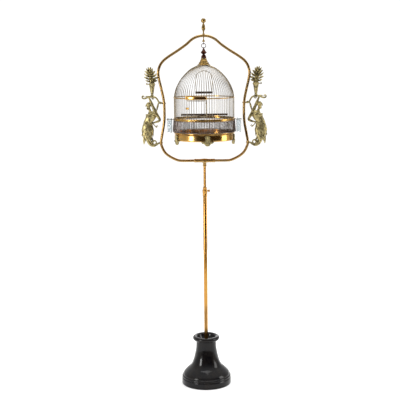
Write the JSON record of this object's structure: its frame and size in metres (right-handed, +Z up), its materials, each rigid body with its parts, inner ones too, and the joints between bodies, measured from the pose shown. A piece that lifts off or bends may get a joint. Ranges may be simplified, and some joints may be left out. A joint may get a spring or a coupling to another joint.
{
  "type": "bird cage on stand",
  "caption": "Domed wire bird cage hanging by a ring inside a lyre-shaped tube frame with cast figures, on a telescopic pole with a bell-shaped foot.",
  "frame": {"origin": "centre of the base's underside, on the floor", "axes": "+Z up along the pole, the lyre frame lies in the XZ plane, the cage door faces -Y"},
  "size_m": [0.616, 0.3086, 1.8192],
  "materials": {
    "black_enamel": "gloss black stoved enamel on cast iron",
    "plain_steel": "plain, slightly rusted",
    "pole_brass": "drawn brass tube, old lacquer",
    "frame_brass": "drawn brass tube, worn lacquer",
    "cast_brass": "sand cast, olive tarnish in the hollows",
    "aged_brass": "turned and spun, dulled",
    "dark_patina": "dark red brown patina",
    "band_brass": "rolled strip, worn",
    "polished_brass": "spun and polished",
    "wire_brass": "drawn wire, greyed",
    "guard_mesh": "fine woven mesh, tarnished",
    "dark_wood": "turned dowel, blackened",
    "clear_glass": "pressed clear glass"
  },
  "bodies": {
    "stand": {"base_casting": "black_enamel", "base_washer": "plain_steel", "base_nut": "plain_steel", "lower_pole": "pole_brass", "collar": "pole_brass"},
    "thumb": {"thumb_screw": "pole_brass"},
    "rod": {"upper_rod": "pole_brass", "rod_bush": "pole_brass"},
    "frame": {"tee_socket": "frame_brass", "frame_tube": "frame_brass", "figure_left": "cast_brass", "figure_right": "cast_brass", "horn_left": "cast_brass", "horn_right": "cast_brass", "figure_screw_left_upper": "frame_brass", "figure_screw_left_lower": "frame_brass", "figure_screw_right_upper": "frame_brass", "figure_screw_right_lower": "frame_brass", "top_finial": "aged_brass", "hanger_rod": "aged_brass", "hook": "dark_patina"},
    "ring": {"hanging_ring": "dark_patina"},
    "hanger": {"cage_finial": "dark_patina"},
    "cage": {"dome_cap": "aged_brass", "crown_plate": "aged_brass", "wire_gore_1": "wire_brass", "wire_gore_2": "wire_brass", "wire_gore_3": "wire_brass", "wire_gore_4": "wire_brass", "wire_gore_5": "wire_brass", "wire_gore_6": "wire_brass", "mid_band": "band_brass", "lower_band": "band_brass", "door_header": "polished_brass", "door_hinge_rod": "wire_brass", "seed_guard": "guard_mesh", "long_perch": "dark_wood", "cup_hoop_left": "wire_brass", "cup_hoop_right": "wire_brass"},
    "door": {"door": "wire_brass", "door_catch": "band_brass"},
    "swing": {"swing_bail": "wire_brass", "swing_perch": "dark_wood"},
    "tray": {"tray": "polished_brass", "tray_foot_1": "cast_brass", "tray_foot_2": "cast_brass", "tray_foot_3": "cast_brass", "tray_foot_4": "cast_brass", "tray_foot_5": "cast_brass"},
    "cup_left": {"cup_left": "clear_glass"},
    "cup_right": {"cup_right": "clear_glass"}
  },
  "joints": [
    {"name": "thumb_screw_turn", "type": "hinge", "parent": "stand", "child": "thumb", "pos_m": [0.014, 0, 0.983], "axis": [1, 0, 0], "range_deg": [-180, 180]},
    {"name": "height_slide", "type": "slide", "parent": "stand", "child": "rod", "axis": [0, 0, 1], "range_m": [-0.1, 0.15]},
    {"name": "frame_turn", "type": "hinge", "parent": "rod", "child": "frame", "pos_m": [0, 0, 1.115], "axis": [0, 0, 1], "continuous": true},
    {"name": "ring_swing", "type": "hinge", "parent": "frame", "child": "ring", "pos_m": [0, 0, 1.6961], "axis": [0, 1, 0], "range_deg": [-0.5, 0.5]},
    {"name": "cage_swing", "type": "hinge", "parent": "ring", "child": "hanger", "pos_m": [0, 0, 1.6784], "axis": [1, 0, 0], "range_deg": [-10, 10]},
    {"name": "cage_spin", "type": "hinge", "parent": "hanger", "child": "cage", "pos_m": [0, 0, 1.628], "axis": [0, 0, 1], "continuous": true},
    {"name": "door_open", "type": "hinge", "parent": "cage", "child": "door", "pos_m": [0.01051, -0.15033, 1.395], "axis": [0, 0, 1], "range_deg": [0, 110]},
    {"name": "perch_swing", "type": "hinge", "parent": "cage", "child": "swing", "pos_m": [0, 0, 1.57], "axis": [1, 0, 0], "range_deg": [-25, 25]},
    {"name": "tray_drop", "type": "slide", "parent": "cage", "child": "tray", "axis": [0, 0, 1], "range_m": [-0.05, 0]},
    {"name": "cup_left_lift", "type": "slide", "parent": "cage", "child": "cup_left", "axis": [0, 0, 1], "range_m": [0, 0.04]},
    {"name": "cup_right_lift", "type": "slide", "parent": "cage", "child": "cup_right", "axis": [0, 0, 1], "range_m": [0, 0.04]}
  ]
}
